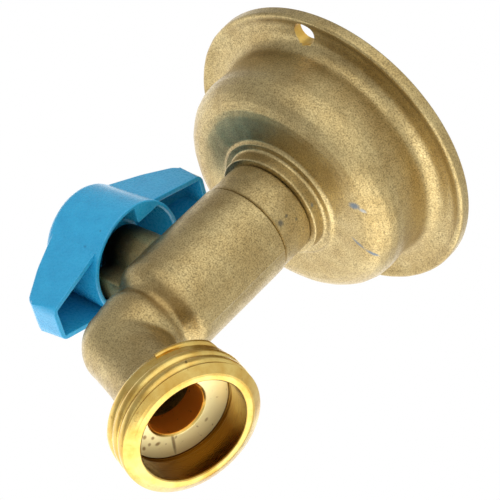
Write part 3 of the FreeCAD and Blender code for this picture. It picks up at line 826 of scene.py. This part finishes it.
def lugBlock(side):
    # the corner of the skirt's inside that stays solid
    spec = handle
    face, back = spec["lugFace"], spec["lugSide"]
    far = spec["skirtRadius"] + 1
    bm = block((face, back, spec["skirt"] - 3), (far, far, spec["domeTop"] + 1))
    nose = [e for e in bm.edges
            if all(v.co.x < face + 0.01 and v.co.y < back + 0.01 for v in e.verts)]
    roundOff(bm, nose, spec["lugEdge"], 4)
    return atStem(bm, side)


def bushHole():
    # the waisted seat of the metal bush, open to the stem below and to the screw above
    spec = handle
    low, high = spec["waist"]
    foot, top = spec["socketFoot"] - 1, spec["domeTop"] + 1
    return turned([
        (0, foot, 0), (spec["stemHole"], foot, 0), (spec["stemHole"], spec["bushFoot"], 0),
        (spec["bush"], spec["bushFoot"], 0), (spec["bush"], low, 0), (spec["recess"], low, 0),
        (spec["recess"], high, 0), (spec["bush"], high, 0), (spec["bush"], spec["bushTop"], 0),
        (spec["recess"], spec["bushTop"], 0), (spec["recess"], top, 0), (0, top, 0)],
        stemPlace, stemAxis, steps=96)


def makeHandle():
    spec = handle
    skirt, wingFoot, top = spec["skirt"], spec["wingFoot"], spec["domeTop"] + 1
    outside = hubBlank(0, skirt, spec["skirtCut"], spec["domeTop"])
    wings, hollowWings = [], []
    for side in (1, -1):
        wings.append(wingBlank(side, 0, 0, wingFoot, spec["tipCorner"], spec["edge"]))
        hollowWings.append(wingBlank(side, spec["wall"], spec["roof"], wingFoot - 1,
                                     spec["hollowCorner"], 0))
    hollows = makePiece("hollows", gather(hollowWings), mouldedBlue)
    carve(hollows, [outside.copy()])
    inside = spec["skirtRadius"] - spec["skirtWall"]
    cavity = makePiece("cavity", hubBlank(
        spec["skirtWall"], skirt - 1, 0, spec["domeTop"] - spec["domeWall"]), mouldedBlue)
    flare = turned([
        (0, skirt - 2, 0), (inside + 1.5, skirt - 1.2, 0), (inside, skirt + 0.3, 0),
        (0, skirt + 0.3, 0)], stemPlace, stemAxis, steps=192)
    socket = turned([
        (0, spec["socketFoot"], 0), (spec["socket"], spec["socketFoot"], 0.4),
        (spec["socket"], top, 0), (0, top, 0)], stemPlace, stemAxis)
    carve(cavity, [flare], "UNION")
    carve(cavity, [socket, lugBlock(1), lugBlock(-1)])
    shell = makePiece("shell", outside, mouldedBlue)
    carve(shell, wings, "UNION")
    carve(shell, [taken(hollows), taken(cavity), bushHole()])
    bm = taken(shell)
    bmesh.ops.remove_doubles(bm, verts=bm.verts, dist=spec["seamWeld"])
    bm.normal_update()
    rims = [e for e in bm.edges if e.is_convex and e.calc_face_angle(0) > math.radians(60)
            and all(min(abs(v.co.z - wingFoot), abs(v.co.z - skirt)) < 0.01 for v in e.verts)]
    roundOff(bm, rims, spec["rim"], 3)
    piece = makePiece("blueHandle", bm, mouldedBlue, 28)
    even = piece.modifiers.new("evenNormals", "WEIGHTED_NORMAL")
    even.keep_sharp = True
    placed(piece, "turning", "blue_plastic", "handle")


makeHandle()


# Fittings that keep their CAD shape

fittings = {
    "body_seal": blackRubber, "front_seat": waxyWhite, "rear_seat": waxyWhite,
    "seat_retainer": latheBrassBody, "stem_washer": waxyWhite, "ball": polishedChrome,
    "stem": latheBrassStem, "stem_ring_lower": blackRubber, "stem_ring_upper": blackRubber,
    "handle_insert": latheBrassStem, "screw_washer": zincSteel, "handle_screw": zincSteel,
    "handle_cap": mouldedBlue,
}
for nodeName, material in fittings.items():
    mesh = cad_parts[nodeName].data
    mesh.materials.clear()
    mesh.materials.append(material)
print("fittings dressed")


# Studio: places in metres, powers in watts

studio = {
    "camera": (0.220930, -0.205820, -0.198801), "right": (-0.191244, 0.616114, -0.764087),
    "up": (0.737296, 0.604046, 0.302528), "back": (0.647936, -0.505502, -0.569779),
    "lens": 127.73, "sensor": 36.0, "clipStart": 0.01,
    "floor": -0.6, "floorHalf": 12.0, "floorColour": "#E6E6E3",
    "aim": (0, -0.045, 0),
    "keyPower": 2.05, "keySize": 0.9, "keyPlace": (0.575, -0.025, -0.171),
    "cardPower": 4.2, "cardSize": 0.85, "cardPlace": (-0.3135, -0.3586, -0.366),
    "brightSide": (-0.900, -0.113, 0.422), "dim": 0.60, "bright": 1.87, "edge": (0.58, 0.76),
}


def makeFloor():
    mesh = bpy.data.meshes.new("floor")
    bm = bmesh.new()
    bmesh.ops.create_grid(bm, x_segments=1, y_segments=1, size=studio["floorHalf"])
    bmesh.ops.translate(bm, vec=(0, 0, studio["floor"]), verts=bm.verts)
    bm.to_mesh(mesh)
    bm.free()
    floor = bpy.data.objects.new("floor", mesh)
    bpy.context.scene.collection.objects.link(floor)
    # matt studio paper, pale grey
    material, tree = newMaterial("paleFloor")
    shader = add(tree, "ShaderNodeBsdfPrincipled", {
        "Base Color": srgb(studio["floorColour"]), "Roughness": 0.7})
    add(tree, "ShaderNodeOutputMaterial", {"Surface": shader})
    mesh.materials.append(material)


def makeCamera():
    data = bpy.data.cameras.new("camera")
    data.lens = studio["lens"]
    data.sensor_width = studio["sensor"]
    data.clip_start = studio["clipStart"]
    camera = bpy.data.objects.new("camera", data)
    bpy.context.scene.collection.objects.link(camera)
    columns = (studio["right"], studio["up"], studio["back"], studio["camera"])
    camera.matrix_world = Matrix((*zip(*columns), (0, 0, 0, 1)))
    bpy.context.scene.camera = camera


def softbox(name, place, size, power):
    data = bpy.data.lights.new(name, "AREA")
    data.shape = "SQUARE"
    data.size = size
    data.energy = power
    lamp = bpy.data.objects.new(name, data)
    lamp.location = place
    aim = Vector(studio["aim"]) - Vector(place)
    lamp.rotation_euler = aim.to_track_quat("-Z", "Y").to_euler()
    bpy.context.scene.collection.objects.link(lamp)


def makeTent():
    # a light tent: bright on one side, dim on the others, and white where the camera sees it
    world = bpy.data.worlds.new("lightTent")
    world.use_nodes = True
    tree = world.node_tree
    tree.nodes.clear()
    low, high = studio["edge"]
    direction = add(tree, "ShaderNodeTexCoord").outputs["Generated"]
    facing = add(tree, "ShaderNodeVectorMath", {0: direction, 1: studio["brightSide"]},
                 operation="DOT_PRODUCT")
    halved = add(tree, "ShaderNodeMath", {0: facing, 1: 0.5, 2: 0.5}, operation="MULTIPLY_ADD")
    share = add(tree, "ShaderNodeValToRGB", {"Fac": halved}, ((low, 0.0), (high, 1.0)))
    level = add(tree, "ShaderNodeMath", {
        0: share, 1: studio["bright"] - studio["dim"], 2: studio["dim"]},
        operation="MULTIPLY_ADD")
    seen = add(tree, "ShaderNodeLightPath").outputs["Is Camera Ray"]
    glow = add(tree, "ShaderNodeMix", {"Factor": seen, 6: level, 7: (1.0, 1.0, 1.0, 1.0)},
               data_type="RGBA")
    sky = add(tree, "ShaderNodeBackground", {"Color": glow, "Strength": 1.0})
    add(tree, "ShaderNodeOutputWorld", {"Surface": sky})
    bpy.context.scene.world = world


makeFloor()
makeCamera()
softbox("keyLight", studio["keyPlace"], studio["keySize"], studio["keyPower"])
softbox("cardLight", studio["cardPlace"], studio["cardSize"], studio["cardPower"])
makeTent()
bpy.context.scene.view_settings.view_transform = "Standard"
print("studio ready")
